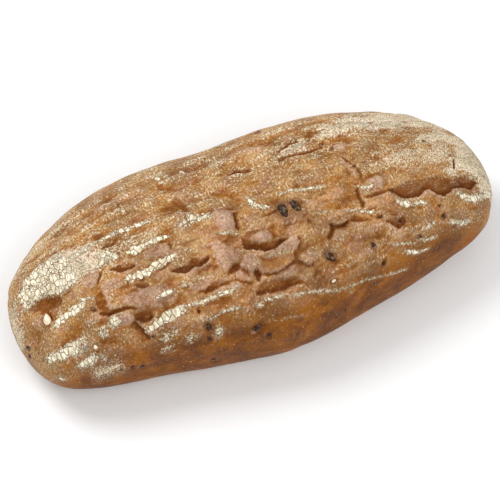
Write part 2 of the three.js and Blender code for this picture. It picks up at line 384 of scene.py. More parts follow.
def cells_of(seed, x, y):
    """Irregular cells of about unit size: the nearest cell's own two random numbers, the offset
    from its middle and how much further the next cell's middle is."""
    cell_x = np.floor(x)
    cell_y = np.floor(y)
    nearest = np.full(x.shape, np.inf)
    second = np.full(x.shape, np.inf)
    own = [np.zeros(x.shape) for _ in range(4)]
    for step_x in (-1, 0, 1):
        for step_y in (-1, 0, 1):
            at = (cell_x + step_x, cell_y + step_y)
            off_x = x - at[0] - scatter(seed, *at)
            off_y = y - at[1] - scatter(seed + 1, *at)
            far = np.hypot(off_x, off_y)
            closer = far < nearest
            second = np.where(closer, nearest, np.minimum(second, far))
            nearest = np.where(closer, far, nearest)
            values = (scatter(seed + 2, *at), scatter(seed + 3, *at), off_x, off_y)
            own = [np.where(closer, new, old) for new, old in zip(values, own)]
    return *own, second - nearest


def near(points, reach, u, v):
    """Which places lie within reach of the box round some points on the chart."""
    corners = np.array(points, float)
    inside = (
        (u > corners[:, 0].min() - reach)
        & (u < corners[:, 0].max() + reach)
        & (v > corners[:, 1].min() - reach)
        & (v < corners[:, 1].max() + reach)
    )
    return np.nonzero(inside)[0]


def measure(points, u, v):
    """How far each place is from a line on the chart, on which side of it (1 is the left, the back
    for a line towards +u, and -1 the right), how far along it, and the line's length."""
    best = np.full(u.shape, np.inf)
    side = np.ones(u.shape)
    along = np.zeros(u.shape)
    walked = 0
    for (start_u, start_v), (end_u, end_v) in zip(points[:-1], points[1:]):
        run_u = end_u - start_u
        run_v = end_v - start_v
        length = math.hypot(run_u, run_v)
        off_u = u - start_u
        off_v = v - start_v
        share = np.clip((off_u * run_u + off_v * run_v) / length**2, 0, 1)
        far = np.hypot(off_u - share * run_u, off_v - share * run_v)
        closer = far < best
        turn = run_u * off_v - run_v * off_u
        side = np.where(closer, np.where(turn >= 0, 1, -1), side)
        along = np.where(closer, walked + share * length, along)
        best = np.where(closer, far, best)
        walked += length
    return best, side, along, walked


def beside(points, reach, u, v):
    """measure(), for the places within reach of the line: which they are comes first."""
    index = near(points, reach, u, v)
    far, side, along, length = measure(points, u[index], v[index])
    kept = far < reach
    return index[kept], far[kept], side[kept], along[kept], length


def within(outline, reach, u, v):
    """The places within reach of an outline, and how far inside its edge they are."""
    index = near(outline, reach, u, v)
    place_u = u[index]
    place_v = v[index]
    closed = outline + outline[:1]
    far = measure(closed, place_u, place_v)[0]
    inside = np.zeros(index.shape, bool)
    for (start_u, start_v), (end_u, end_v) in zip(closed[:-1], closed[1:]):
        if start_v == end_v:
            continue
        spans = (start_v > place_v) != (end_v > place_v)
        crossing = start_u + (end_u - start_u) * (place_v - start_v) / (end_v - start_v)
        inside ^= spans & (place_u < crossing)
    return index, np.where(inside, far, -far)


def tapered(along, length, over=3):
    """1 along a line, and falling to 0 over its last millimetres at both ends."""
    return smoothstep(0, over, along) * smoothstep(length, length - over, along)


def ramp(inside_by):
    """0 outside an edge, a half on it and 1 inside it. The finish cuts this off sharply."""
    return np.clip(0.5 + inside_by / EDGE_RAMP, 0, 1)


def oval(u, v, spot):
    """How far out a place is in an oval spot: 0 in its middle and 1 at its edge."""
    centre_u, centre_v, half_long, half_wide, turn = spot[:5]
    angle = math.radians(turn)
    off_u = (u - centre_u) * math.cos(angle) + (v - centre_v) * math.sin(angle)
    off_v = (v - centre_v) * math.cos(angle) - (u - centre_u) * math.sin(angle)
    return np.hypot(off_u / half_long, off_v / half_wide)


# ---------------------------------------------------------------- the smooth loaf as a grid


def spread_of_rows():
    """Where each ring of the grid starts on the spine, and how far its rays lean to an end."""
    on_cap = np.arange(1, ROWS_ON_CAP) / ROWS_ON_CAP
    lean = np.concatenate([-CAP_TURN * (1 - on_cap), np.zeros(ROWS_ON_SPINE + 1), CAP_TURN * on_cap])
    on_spine = np.linspace(-SPINE_HALF, SPINE_HALF, ROWS_ON_SPINE + 1)
    ends = np.full(ROWS_ON_CAP - 1, SPINE_HALF)
    start = np.concatenate([-ends, on_spine, ends])
    return start, lean


def spread_of_columns():
    """The turn of each column of the grid about the spine, from underneath round to underneath."""
    start = -HALF_TURN
    turns = []
    for end, count in COLUMN_STRETCHES:
        turns.append(np.linspace(start, end, count, endpoint=False))
        start = end
    return np.concatenate(turns) / CHART_RADIUS


def cast_onto_cad(start, direction):
    """How far the CAD solid's surface is from each start, that way."""
    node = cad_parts["loaf"]
    corners = [node.matrix_world @ vertex.co for vertex in node.data.vertices]
    faces = [tuple(polygon.vertices) for polygon in node.data.polygons]
    tree = BVHTree.FromPolygons(corners, faces)
    reach = np.empty(len(start))
    for i, (origin, ray) in enumerate(zip(start * MM, direction)):
        _, _, _, distance = tree.ray_cast(Vector(origin), Vector(ray))
        reach[i] = distance / MM
    return reach


def softened(values, times):
    """Blurs a grid of values a little, round the loaf and along it."""
    for _ in range(times):
        padded = np.pad(values, ((1, 1), (0, 0)), mode="edge")
        values = (padded[:-2] + 2 * values + padded[2:]) / 4
        values = (np.roll(values, 1, axis=1) + 2 * values + np.roll(values, -1, axis=1)) / 4
    return values


def normals_of(grid):
    """Outward unit normals of a grid of points whose columns close round the loaf."""
    along = np.gradient(grid, axis=0)
    around = np.roll(grid, -1, axis=1) - np.roll(grid, 1, axis=1)
    normal = np.cross(along, around)
    return normal / np.linalg.norm(normal, axis=-1, keepdims=True)


spine_x, lean = spread_of_rows()
turn = spread_of_columns()
ROWS = len(spine_x)
COLUMNS = len(turn)

ray = np.stack(
    [
        np.repeat(np.sin(lean)[:, None], COLUMNS, axis=1),
        np.cos(lean)[:, None] * np.sin(turn)[None, :],
        np.cos(lean)[:, None] * np.cos(turn)[None, :],
    ],
    axis=-1,
)
origin = np.zeros((ROWS, COLUMNS, 3))
origin[..., 0] = spine_x[:, None]
origin[..., 2] = SPINE_HEIGHT
reach = cast_onto_cad(origin.reshape(-1, 3), ray.reshape(-1, 3)).reshape(ROWS, COLUMNS)
smooth = origin + softened(reach, 5)[..., None] * ray
outward = normals_of(smooth)

fall = np.arccos(np.clip(ray[..., 2], -1, 1)) * CHART_RADIUS  # chart distance from the crown
heading = np.arctan2(ray[..., 1], ray[..., 0])
U = (spine_x[:, None] + fall * np.cos(heading)).ravel()
V = (fall * np.sin(heading)).ravel()
FALL = fall.ravel()
PLACE = smooth.reshape(-1, 3)
X, Y, Z = PLACE.T

# ---------------------------------------------------------------- the crust's shape and colour


def blotches(seed, long, wide, index=slice(None)):
    """Noise over the chart, in blotches about long by wide millimetres."""
    return noise(seed, U[index] / long, V[index] / wide)


# The chart shaken by noise: a little, where features are placed on it, and more where they repeat.
shaken_u = U + 0.7 * blotches(12, 4.5, 3.5)
shaken_v = V + 0.6 * blotches(14, 4.5, 3.5)
wander_u = U + 1.6 * blotches(11, 14, 10) + 0.9 * blotches(15, 5, 4)
wander_v = V + 1.4 * blotches(13, 14, 10) + 0.8 * blotches(16, 5, 4)


def streaks(seed, long, wide):
    """The same over the chart when it is shaken most, for what runs along the loaf."""
    return noise(seed, wander_u / long, wander_v / wide)


above_base = smoothstep(UNDERSIDE + 4, UNDERSIDE - 14, FALL)  # no relief on the flat underside
rings_from_tip = ROWS_ON_CAP + ROWS_ON_SPINE / 2 - np.abs(np.arange(ROWS) - (ROWS - 1) / 2)
near_tip = np.repeat(smoothstep(4, 26, rings_from_tip), COLUMNS)

# How torn and wrinkled each part is: rough on the crown and back, smooth low on the front.
ROUGH_FRONT, ROUGH_BACK = -66, 74
front_edge = V + 4 * blotches(21, 20, 20)
back_edge = V + 4 * blotches(22, 20, 20)
rough_zone = smoothstep(ROUGH_FRONT - 10, ROUGH_FRONT + 10, front_edge)
rough_zone *= smoothstep(ROUGH_BACK + 22, ROUGH_BACK - 14, back_edge)
rough_zone *= 1 - 0.4 * smoothstep(118, 150, np.abs(U))

# The torn part is in front of this line, and goes no further to either end than this.
TORN_BACK, TORN_HALF = -4, 90
torn_zone = rough_zone * smoothstep(TORN_BACK + 14, TORN_BACK - 14, V + 8 * blotches(23, 24, 16))
torn_zone *= smoothstep(TORN_HALF + 16, TORN_HALF - 16, np.abs(U + 6 * blotches(24, 20, 16)))
torn_zone = np.maximum(torn_zone, 0.16 * rough_zone)

height = np.zeros(U.shape)  # millimetres that the crust stands out from the smooth loaf
flour = np.zeros(U.shape)  # caked flour
dust = np.zeros(U.shape)  # a haze of flour
bare = np.zeros(U.shape)  # orange crust that opened in the oven, with no flour on it
sunken_shade = np.zeros(U.shape)  # deep brown painted shade, on sunken crust and in the hollows
film = np.zeros(U.shape)  # dull pink-brown crust
crevice_shade = np.zeros(U.shape)  # painted shade inside cracks, hollows, steps and seed dents


def raise_to(field, value, index=slice(None)):
    field[index] = np.maximum(field[index], value)


def add_swells():
    """Broad unevenness of the risen dough, and the wrinkles that run along it."""
    height[:] += noise(31, X / 34, Y / 26, Z / 26)
    height[:] += 1.3 * noise(32, X / 15, Y / 11, Z / 11) * (0.25 + 0.75 * rough_zone)
    front = smoothstep(14, -18, V)
    wrinkles = (
        (33, 22, 7, 0.1 + 0.14 * front),
        (34, 8, 4, 0.17 + 0.08 * front),
        (35, 3.6, 2.8, 0.18),
        (36, 15, 10, 1.1 - 0.4 * front),
    )
    for seed, long, wide, rise in wrinkles:
        height[:] += rise * rough_zone * streaks(seed, long, wide)


def add_scales():
    """Torn scales of crust, like shingles, each tilted so that its front edge stands proud."""
    for seed, long, wide, rise in ((41, 17, 10, 0.9), (47, 8, 6, 0.35)):
        warp_u = wander_u / long + 0.12 * blotches(seed, 6, 5)
        warp_v = wander_v / wide + 0.12 * blotches(seed + 1, 6, 5)
        tilt, lift, off_u, off_v, edge = cells_of(seed, warp_u, warp_v)
        lean_back = (0.35 + 0.65 * tilt) * (-off_v) + 0.5 * (lift - 0.5) * off_u
        tilted = 0.9 * lean_back + 0.4 * (lift - 0.5)
        height[:] += rise * tilted * smoothstep(0, 0.25, edge) * torn_zone
        raise_to(bare, 0.42 * (lift > 0.65) * torn_zone)
        raise_to(film, 0.42 * (lift < 0.35) * torn_zone)


def add_lumps():
    """The swellings and dimples."""
    for spot in LUMPS:
        out = oval(shaken_u, shaken_v, spot)
        height[:] += spot[5] * np.exp(-(out**3) * 1.2)


def add_areas():
    """The parts with their own colour, and the sunken ones painted deep brown as shade. Each takes the place
    of the kinds under it.
    """
    for kind, lift, outline in AREAS:
        index, inside_by = within(outline, 4, shaken_u, shaken_v)
        height[index] += lift * smoothstep(-1.6, 1.6, inside_by)
        cover = ramp(inside_by)
        for name, field in (("bare", bare), ("film", film), ("sunken_shade", sunken_shade)):
            if name == kind:
                raise_to(field, cover, index)
            else:
                field[index] = np.minimum(field[index], 1 - cover)


# Shares of a tear's depth: how far it falls below the crust round it, and how far its lip rises.
HOLLOW_FALL = 0.75
STEP_FALL = 0.8
LIP_RISE = 0.25


def add_hollows():
    """The torn hollows: deepest under their front lips, with deep brown painted shade in them that darkens
    towards the lips.
    """
    for number, (back, front, depth) in enumerate(HOLLOWS):
        index, inside_by = within(back + front[::-1], 6, shaken_u, shaken_v)
        from_back = measure(back, shaken_u[index], shaken_v[index])[0]
        from_front = measure(front, shaken_u[index], shaken_v[index])[0]
        gap = from_back + from_front
        share = from_back / (gap + 0.1)
        open_by = smoothstep(0.5, 3.5, gap)
        inside = smoothstep(-0.5, 0.4, inside_by)
        uneven = 1 + 0.35 * blotches(51 + number, 6, 4, index)
        height[index] -= HOLLOW_FALL * depth * uneven * share**0.9 * open_by * inside
        lip = np.exp(-from_front / 1.6) * (1 - inside) * open_by
        height[index] += LIP_RISE * depth * lip
        raise_to(sunken_shade, 0.85 * ramp(inside_by), index)
        shade = (0.3 + 0.6 * share**2) * inside * open_by
        raise_to(crevice_shade, shade * min(1, 0.3 + depth / 4), index)
        film[index] = np.minimum(film[index], 1 - ramp(inside_by))


def add_steps():
    """The steps: a drop on the lower side, a lip on the upper and painted shade in the gap between them."""
    for number, (points, run, depth, lower) in enumerate(STEPS):
        index, far, side, along, length = beside(points, run + 4, shaken_u, shaken_v)
        signed = far * side * lower  # plus on the lower side, minus on the upper
        ends = tapered(along, length)
        uneven = 1 + 0.4 * noise(81 + number, along / 5, signed / 6)
        slope = np.clip(1 - signed / run, 0, 1) ** 1.3
        height[index] -= STEP_FALL * depth * uneven * slope * smoothstep(-0.6, 0.5, signed) * ends
        lip = np.exp(-np.clip(-signed, 0, 9) / 2.0) * smoothstep(0.6, -0.6, signed)
        height[index] += LIP_RISE * depth * lip * ends
        # Painted shade in the gap at the foot of the drop.
        gap = smoothstep(1.1, 0.2, np.abs(signed - 0.5)) * ends
        raise_to(crevice_shade, gap * min(0.9, depth / 2.2), index)


CREASE_HEIGHT = 0.7
CREASE_HALF = 1.1


def add_cracks():
    """The cracks, with painted shade inside, and the raised creases."""
    for points, half_width, depth in CRACKS:
        index, far, _, along, length = beside(points, half_width * 4, shaken_u, shaken_v)
        ends = tapered(along, length)
        height[index] -= depth * np.exp(-((far / half_width) ** 2)) * ends
        raise_to(crevice_shade, 0.8 * smoothstep(1.2 * half_width, 0.1, far) * ends, index)
    for points in CREASES:
        index, far, _, along, length = beside(points, 4, shaken_u, shaken_v)
        ends = tapered(along, length)
        height[index] += CREASE_HEIGHT * np.exp(-((far / CREASE_HALF) ** 2)) * ends
        raise_to(film, ramp(0.7 - far) * ends, index)


HAZE_SHARE = 0.62  # the haze round caked flour, for its strength
CAKE_HEIGHT = 0.25
RIDGE_HEIGHT = 0.35  # the crust's own rise under a line of flour
CRUMB_HEIGHT = 0.6
POWDER_REACH = 18  # powder can run out this far beyond its outline


def lay_flour(index, inside_by, strength, ragged_over=EDGE_RAMP, haze=4):
    """Caked flour up to an edge, and a haze of it for a few millimetres beyond."""
    raise_to(flour, strength * np.clip(0.5 + inside_by / ragged_over, 0, 1), index)
    raise_to(dust, HAZE_SHARE * strength * smoothstep(-haze, 0.6, inside_by), index)
    height[index] += CAKE_HEIGHT * strength * smoothstep(-0.8, 0.8, inside_by)


def add_flour_lines():
    """Flour caked on the ridges that the basket's canes left."""
    for number, (points, half_width, strength) in enumerate(FLOUR_LINES):
        index, far, _, along, length = beside(points, half_width * 2 + 4, shaken_u, shaken_v)
        ends = 0.6 + 0.4 * tapered(along, length, 4)
        broken = 1.25 + 0.8 * noise(101 + number, along / 2.6, far / 2)
        edge = half_width * ends * broken - 0.35
        height[index] += RIDGE_HEIGHT * strength * np.exp(-((far / (half_width + 1.5)) ** 2))
        lay_flour(index, edge - far, strength, haze=0.8 + 1.2 * half_width)


def add_flour_patches():
    """Flour caked in patches, worn thinner in blotches."""
    for outline, strength in FLOUR_PATCHES:
        index, inside_by = within(outline, 6, shaken_u, shaken_v)
        ragged = 1.6 * blotches(201, 5, 4, index) + 0.9 * blotches(202, 2, 2, index)
        worn = 0.92 + 0.4 * blotches(203, 7, 10, index)
        lay_flour(index, inside_by + ragged + 0.6, strength * np.clip(worn, 0.8, 1), PATCH_RAMP)


def add_powder():
    """Flour that lies loose, thinning out round its outlines."""
    for outline, strength in POWDER:
        index, inside_by = within(outline, POWDER_REACH, shaken_u, shaken_v)
        ragged = 5 * blotches(205, 11, 6, index) + 3 * blotches(206, 4, 3, index)
        raise_to(dust, strength * smoothstep(-13, 8, inside_by + ragged), index)


def add_crumbs():
    """The crumbs of flour."""
    for u, v, half_long, half_wide in CRUMBS:
        out = oval(U, V, (u, v, half_long, half_wide, 0))
        height[:] += CRUMB_HEIGHT * np.exp(-(out**2))
        raise_to(flour, smoothstep(1.5, 0.7, out))


# The basket's canes wind round a line a little to the front of the crown.
RING_LINE = -12
RING_PITCH = 9.6
RING_HALF = 140  # the canes turn about points this far from the middle of that line
RING_HEIGHT = 0.32


def add_basket_rings():
    """The ridges that the basket's canes left down the back and round the ends."""
    beyond = np.clip(np.abs(wander_u) - RING_HALF, 0, None)
    ring = np.hypot(beyond, wander_v - RING_LINE) / RING_PITCH
    ridge = np.cos(2 * math.pi * ring)
    behind = smoothstep(8, 40, V) * smoothstep(UNDERSIDE - 4, UNDERSIDE - 26, FALL)
    height[:] += RING_HEIGHT * ridge * behind * (0.3 + 0.7 * smoothstep(40, 90, np.abs(U)))
    broken = smoothstep(-0.15, 0.35, blotches(211, 16, 9) + 0.5 * blotches(212, 5, 5))
    line = smoothstep(0.5, 0.95, ridge) * behind * broken
    raise_to(flour, (0.3 + 0.35 * smoothstep(50, 74, V)) * line)
    raise_to(dust, 0.75 * behind * smoothstep(-0.6, 0.7, ridge) * (0.35 + 0.65 * broken))


def add_dusting():
    """A haze of flour over the crown and back, in streaks along the loaf."""
    streak = streaks(221, 30, 3.4) + 0.6 * streaks(222, 12, 2.4)
    start = smoothstep(-14, 16, V + 8 * blotches(223, 30, 20))
    zone = start * smoothstep(UNDERSIDE - 8, UNDERSIDE - 40, FALL)
    patchy = smoothstep(-0.7, 0.5, blotches(227, 17, 9))
    raise_to(dust, zone * (0.16 + 0.56 * smoothstep(-0.2, 0.6, streak) * patchy))
    clump = smoothstep(0.2, 0.7, streak) * smoothstep(-0.2, 0.4, blotches(224, 10, 6))
    raise_to(flour, 0.45 * zone * clump)
    ends = smoothstep(105, 150, np.abs(U)) * smoothstep(-84, -66, V) * above_base
    raise_to(dust, 0.55 * ends * smoothstep(-0.1, 0.6, blotches(225, 9, 6) + 0.012 * V))
    raise_to(dust, (0.24 + 0.2 * blotches(226, 9, 6)) * smoothstep(-74, -60, V))


SOCKET_DEPTH = 0.9
SOCKET_RIM = 0.12


def add_sockets():
    """The dents that the seeds sit in, with painted shade in them."""
    for u, v, length, bearing in DARK_SEEDS + PALE_SEEDS:
        out = oval(U, V, (u, v, length * 0.62, length * 0.36, bearing))
        dent = SOCKET_RIM * np.exp(-((out - 1.7) ** 2) * 3) - SOCKET_DEPTH * np.exp(-(out**2) * 1.2)
        height[:] += dent
        raise_to(crevice_shade, 0.5 * smoothstep(1.5, 1.0, out))
        flour[:] *= smoothstep(0.9, 1.5, out)


add_swells()
add_scales()
add_lumps()
add_areas()
add_steps()
add_hollows()
add_cracks()
add_basket_rings()
add_dusting()
add_flour_lines()
add_flour_patches()
add_powder()
add_crumbs()
add_sockets()

# Fine grain all over, and the whole crust sunk a little, so that its relief stays in the CAD box.
GRAIN_HEIGHT = 0.13
SUNK_BY = 0.4
fine_grain = noise(231, X / 3, Y / 3, Z / 3) + noise(232, X / 1.5, Y / 1.5, Z / 1.5) / 2
height += GRAIN_HEIGHT * fine_grain - SUNK_BY

# The relief is lower down the back, round the ends and at the tips of the grid.
calm = 1 - 0.6 * smoothstep(42, 60, V) - 0.45 * smoothstep(140, 165, np.abs(U))
height *= above_base * (0.3 + 0.7 * near_tip) * np.clip(calm, 0.3, 1)
height += (END_REACH * smoothstep(110, 185, U) - BACK_TRIM * smoothstep(38, 60, V)) * above_base
height -= FRONT_TRIM * smoothstep(-50, -78, V) * above_base

# Darker low on the front and underneath.
warm = 0.26 * smoothstep(-8, -44, V) + 0.74 * smoothstep(-52, -80, V)
low_darkening = np.maximum(warm, smoothstep(84, 108, FALL))
flour *= 1 - np.clip(crevice_shade * 1.2, 0, 1)
dust *= 1 - np.maximum(0.45 * bare, 0.6 * film)  # the sheets that tore open last are the cleanest

# Where the crust stands above what is round it (over a half) or lies below it (under a half). The finish
# paints shade in the dips and a highlight on the crests from it.
relief = height.reshape(ROWS, COLUMNS)
finely = (relief - softened(relief, 5)).ravel()
broadly = (relief - softened(relief, 60)).ravel()
crest = np.clip(0.5 + 0.55 * finely + 0.16 * broadly, 0, 1)

crust = PLACE + outward.reshape(-1, 3) * height[:, None]
crust[:, 2] = np.maximum(crust[:, 2], 0)
above = np.maximum(crust[:, 2] - HEIGHT - CROWN_SLACK, 0)
crust[:, 2] -= CROWN_SQUASH * above
crust_grid = crust.reshape(ROWS, COLUMNS, 3)


# ---------------------------------------------------------------- meshes


TIP_REACH = 0.3  # the grid's two tips stand this far beyond its last rings
UV_MARGIN = 0.004  # left empty round the map
SEED_RINGS = 10
SEED_SIDES = 12
SEED_FLATNESS = 0.62  # a seed's thickness for its width


def new_object(name, data):
    thing = bpy.data.objects.new(name, data)
    bpy.context.scene.collection.objects.link(thing)
    return thing


def smooth_mesh(name, points, faces):
    mesh = bpy.data.meshes.new(name)
    mesh.from_pydata((points * MM).tolist(), [], faces)
    mesh.polygons.foreach_set("use_smooth", [True] * len(mesh.polygons))
    return mesh


def add_field(mesh, name, values):
    attribute = mesh.attributes.new(name, "FLOAT", "POINT")
    attribute.data.foreach_set("value", values.astype(np.float32))


def grid_faces():
    """The grid's quads, and the triangles that close it at the two tips."""
    row, column = np.meshgrid(np.arange(ROWS - 1), np.arange(COLUMNS), indexing="ij")
    across = (column + 1) % COLUMNS
    quads = np.stack(
        [
            row * COLUMNS + column,
            (row + 1) * COLUMNS + column,
            (row + 1) * COLUMNS + across,
            row * COLUMNS + across,
        ],
        axis=-1,
    ).reshape(-1, 4)
    first_tip = ROWS * COLUMNS
    last_tip = first_tip + 1
    last_row = (ROWS - 1) * COLUMNS
    tips = []
    for at in range(COLUMNS):
        then = (at + 1) % COLUMNS
        tips.append((first_tip, at, then))
        tips.append((last_tip, last_row + then, last_row + at))
    return quads, tips


def unwrap(mesh, quads):
    """A map of the crust for textures: along the loaf by round it."""
    layer = mesh.uv_layers.new(name="OFBake")
    row = quads[:, 0] // COLUMNS
    column = quads[:, 0] % COLUMNS
    corners = np.zeros((len(mesh.loops), 2))
    quad_corners = 4 * len(quads)
    for corner, (down, over) in enumerate(((0, 0), (1, 0), (1, 1), (0, 1))):
        corners[corner:quad_corners:4, 0] = (row + down + 1) / (ROWS + 1)
        corners[corner:quad_corners:4, 1] = (column + over) / COLUMNS
    at = np.arange(COLUMNS)
    for tip, ring in ((0, 1), (1, ROWS)):
        along = (tip, ring / (ROWS + 1), ring / (ROWS + 1))
        around = (at + 0.5, at + tip, at + 1 - tip)
        for corner in range(3):
            spots = corners[quad_corners + 3 * tip + corner :: 6]
            spots[:, 0] = along[corner]
            spots[:, 1] = around[corner] / COLUMNS
    corners = UV_MARGIN + corners * (1 - 2 * UV_MARGIN)
    layer.data.foreach_set("uv", corners.astype(np.float32).ravel())


def make_loaf():
    tips = np.array([crust_grid[row].mean(axis=0) for row in (0, -1)])
    tips[:, 0] += (-TIP_REACH, TIP_REACH)
    quads, triangles = grid_faces()
    mesh = smooth_mesh("loaf_crust", np.concatenate([crust, tips]), quads.tolist() + triangles)
    unwrap(mesh, quads)
    fields = {"flour": flour, "dust": dust, "bare": bare, "sunken_shade": sunken_shade, "film": film}
    fields |= {"crevice_shade": crevice_shade, "low_darkening": low_darkening, "crest": crest}
    for name, field in fields.items():
        add_field(mesh, name, np.clip(np.concatenate([field, field[[0, -1]]]), 0, 1))
    chart = mesh.attributes.new("chart", "FLOAT_VECTOR", "POINT")
    flat = np.stack([U, V, np.zeros(U.shape)], axis=-1)
    flat = np.concatenate([flat, [[U[0] - TIP_REACH, 0, 0], [U[-1] + TIP_REACH, 0, 0]]])
    chart.data.foreach_set("vector", flat.astype(np.float32).ravel())
    mesh.validate()
    return new_object("loaf_crust", mesh)


def seed_shape(plump):
    """A seed along X, one unit long, pointed at one end: points and faces."""
    points = [(-0.5, 0, 0)]
    for ring in range(1, SEED_RINGS):
        share = ring / SEED_RINGS
        radius = math.sin(math.pi * share**0.8) ** 0.75 * 0.5 * plump
        for side in range(SEED_SIDES):
            angle = 2 * math.pi * side / SEED_SIDES
            reach = radius * (1 + 0.05 * math.cos(4 * angle))
            across = reach * math.cos(angle)
            points.append((share - 0.5, across, SEED_FLATNESS * reach * math.sin(angle)))
    points.append((0.5, 0, 0))
    last = len(points) - 1
    last_ring = 1 + (SEED_RINGS - 2) * SEED_SIDES
    faces = []
    for side in range(SEED_SIDES):
        then = (side + 1) % SEED_SIDES
        faces.append((0, 1 + then, 1 + side))
        faces.append((last, last_ring + side, last_ring + then))
        for start in range(1, last_ring, SEED_SIDES):
            after = start + SEED_SIDES
            faces.append((start + side, start + then, after + then, after + side))
    return np.array(points), faces


def vertex_at(u, v):
    """The vertex of the crust nearest to a place on the chart."""
    return int(np.argmin((U - u) ** 2 + (V - v) ** 2))


def unit(vector):
    return vector / np.linalg.norm(vector)


def make_seeds(name, seeds, plump, stouter, proud, seed):
    """Seeds set in the crust, as one mesh. plump is the width of the longest for its length, and
    stouter the power by which short ones are plumper. proud is how far they stand out."""
    random = np.random.default_rng(seed)
    shape, shape_faces = seed_shape(plump)
    longest = max(length for _, _, length, _ in seeds)
    points = []
    faces = []
    buried = []
    for u, v, length, bearing in seeds:
        at = vertex_at(u, v)
        angle = math.radians(bearing)
        ahead = vertex_at(u + 4 * math.cos(angle), v + 4 * math.sin(angle))
        up = outward.reshape(-1, 3)[at]
        forward = PLACE[ahead] - PLACE[at]
        pitch = random.uniform(-0.12, 0.12) * np.linalg.norm(forward)
        forward = unit(forward - up * (forward @ up) + up * pitch)
        sideways = unit(np.cross(up, forward))
        up = np.cross(forward, sideways)
        stout = (longest / length) ** stouter
        size = length * np.array([1, stout * random.uniform(0.9, 1.1), stout * random.uniform(0.9, 1.1)])
        body = (shape * size) @ np.stack([forward, sideways, up])
        first = len(points) * len(shape)
        points.append(body + crust[at] + up * proud * length)
        faces += [tuple(first + corner for corner in face) for face in shape_faces]
        reach = random.uniform(-0.5, -0.1)  # crust has crept over the seed's end as far as this
        buried.append(smoothstep(reach + 0.08, reach - 0.08, shape[:, 0]))
    mesh = smooth_mesh(name, np.concatenate(points), faces)
    add_field(mesh, "buried", np.concatenate(buried))
    return new_object(name, mesh)


# ---------------------------------------------------------------- materials


class Finish:
    """A node material under construction. Its methods return output sockets. Its own place is in
    metres, and the chart's is in millimetres."""

    def __init__(self, name):
        self.material = bpy.data.materials.new(name)
        self.material.use_nodes = True
        self.nodes = self.material.node_tree.nodes
        self.links = self.material.node_tree.links
        self.shader = self.nodes["Principled BSDF"]
        self.place = self.nodes.new("ShaderNodeTexCoord").outputs["Object"]

    def put(self, socket, value):
        if isinstance(value, bpy.types.NodeSocket):
            self.links.new(value, socket)
        elif socket.type == "RGBA" and len(value) == 3:
            socket.default_value = (*value, 1)
        else:
            socket.default_value = value

    def set(self, name, value):
        """Gives the shader's input of that name a value or a socket."""
        self.put(self.shader.inputs[name], value)

    def math(self, operation, *values):
        node = self.nodes.new("ShaderNodeMath")
        node.operation = operation
        for socket, value in zip(node.inputs, values):
            self.put(socket, value)
        return node.outputs[0]

    def plus(self, first, second):
        return self.math("ADD", first, second)

    def minus(self, first, second):
        return self.math("SUBTRACT", first, second)

    def times(self, first, second):
        return self.math("MULTIPLY", first, second)

    def times_plus(self, first, factor, added):
        return self.math("MULTIPLY_ADD", first, factor, added)

    def span(self, value, start, end, low=0.0, high=1.0):
        """value from start to end becomes low to high, smoothly and no further."""
        node = self.nodes.new("ShaderNodeMapRange")
        node.interpolation_type = "SMOOTHSTEP"
        for socket, setting in zip(node.inputs, (value, start, end, low, high)):
            self.put(socket, setting)
        return node.outputs[0]

    def mix(self, share, first, second, blend="MIX"):
        node = self.nodes.new("ShaderNodeMix")
        node.data_type = "RGBA"
        node.blend_type = blend
        self.put(node.inputs[0], share)
        self.put(node.inputs[6], first)
        self.put(node.inputs[7], second)
        return node.outputs[2]

    def coated(self, colour, *coats):
        """A colour under coats, each of them a share of cover and a colour, the last on top."""
        for share, tone in coats:
            colour = self.mix(share, colour, tone)
        return colour

    def field(self, name, output="Fac"):
        node = self.nodes.new("ShaderNodeAttribute")
        node.attribute_name = name
        return node.outputs[output]

    def noise(self, size, detail=3.0, roughness=0.55, stretch=None, place=None):
        """Noise whose features are about size millimetres across."""
        node = self.nodes.new("ShaderNodeTexNoise")
        self.put(node.inputs["Scale"], 1 / (size * MM))
        self.put(node.inputs["Detail"], detail)
        self.put(node.inputs["Roughness"], roughness)
        self.put(node.inputs["Vector"], self.stretched(stretch, place))
        return node.outputs[0]

    def stretched(self, stretch, place=None):
        place = self.place if place is None else place
        if stretch is None:
            return place
        node = self.nodes.new("ShaderNodeMapping")
        self.put(node.inputs["Vector"], place)
        self.put(node.inputs["Scale"], stretch)
        return node.outputs[0]

    def scaled(self, place, factor):
        node = self.nodes.new("ShaderNodeVectorMath")
        node.operation = "SCALE"
        self.put(node.inputs[0], place)
        self.put(node.inputs["Scale"], factor)
        return node.outputs[0]

    def flakes(self, size, place, stretch=None):
        """Flat cells about size across, in the place's unit: each one's own random number, and how
        far inside it a place is, in cells."""
        place = self.stretched(stretch, place)
        results = []
        for feature, output in (("F1", "Color"), ("DISTANCE_TO_EDGE", "Distance")):
            node = self.nodes.new("ShaderNodeTexVoronoi")
            node.voronoi_dimensions = "2D"
            node.feature = feature
            self.put(node.inputs["Scale"], 1 / size)
            self.put(node.inputs["Vector"], place)
            results.append(node.outputs[output])
        split = self.nodes.new("ShaderNodeSeparateColor")
        self.put(split.inputs[0], results[0])
        return split.outputs[0], results[1]

    def shaken(self, place, size, amount):
        """The place, moved about by noise whose size is in the place's unit."""
        node = self.nodes.new("ShaderNodeTexNoise")
        self.put(node.inputs["Scale"], 1 / size)
        self.put(node.inputs["Vector"], place)
        shift = self.nodes.new("ShaderNodeVectorMath")
        shift.operation = "MULTIPLY_ADD"
        self.put(shift.inputs[0], node.outputs["Color"])
        self.put(shift.inputs[1], (amount,) * 3)
        self.put(shift.inputs[2], place)
        return shift.outputs[0]

    def bump(self, height, depth, under=None):
        """Relief of depth millimetres from a height of 0 to 1."""
        node = self.nodes.new("ShaderNodeBump")
        self.put(node.inputs["Distance"], depth * MM)
        self.put(node.inputs["Height"], height)
        if under is not None:
            self.put(node.inputs["Normal"], under)
        return node.outputs[0]


def linear(red, green, blue):
    """A display colour from 0 to 255 as the linear colour that the shader takes."""
    return tuple((part / 255) ** 2.2 for part in (red, green, blue))
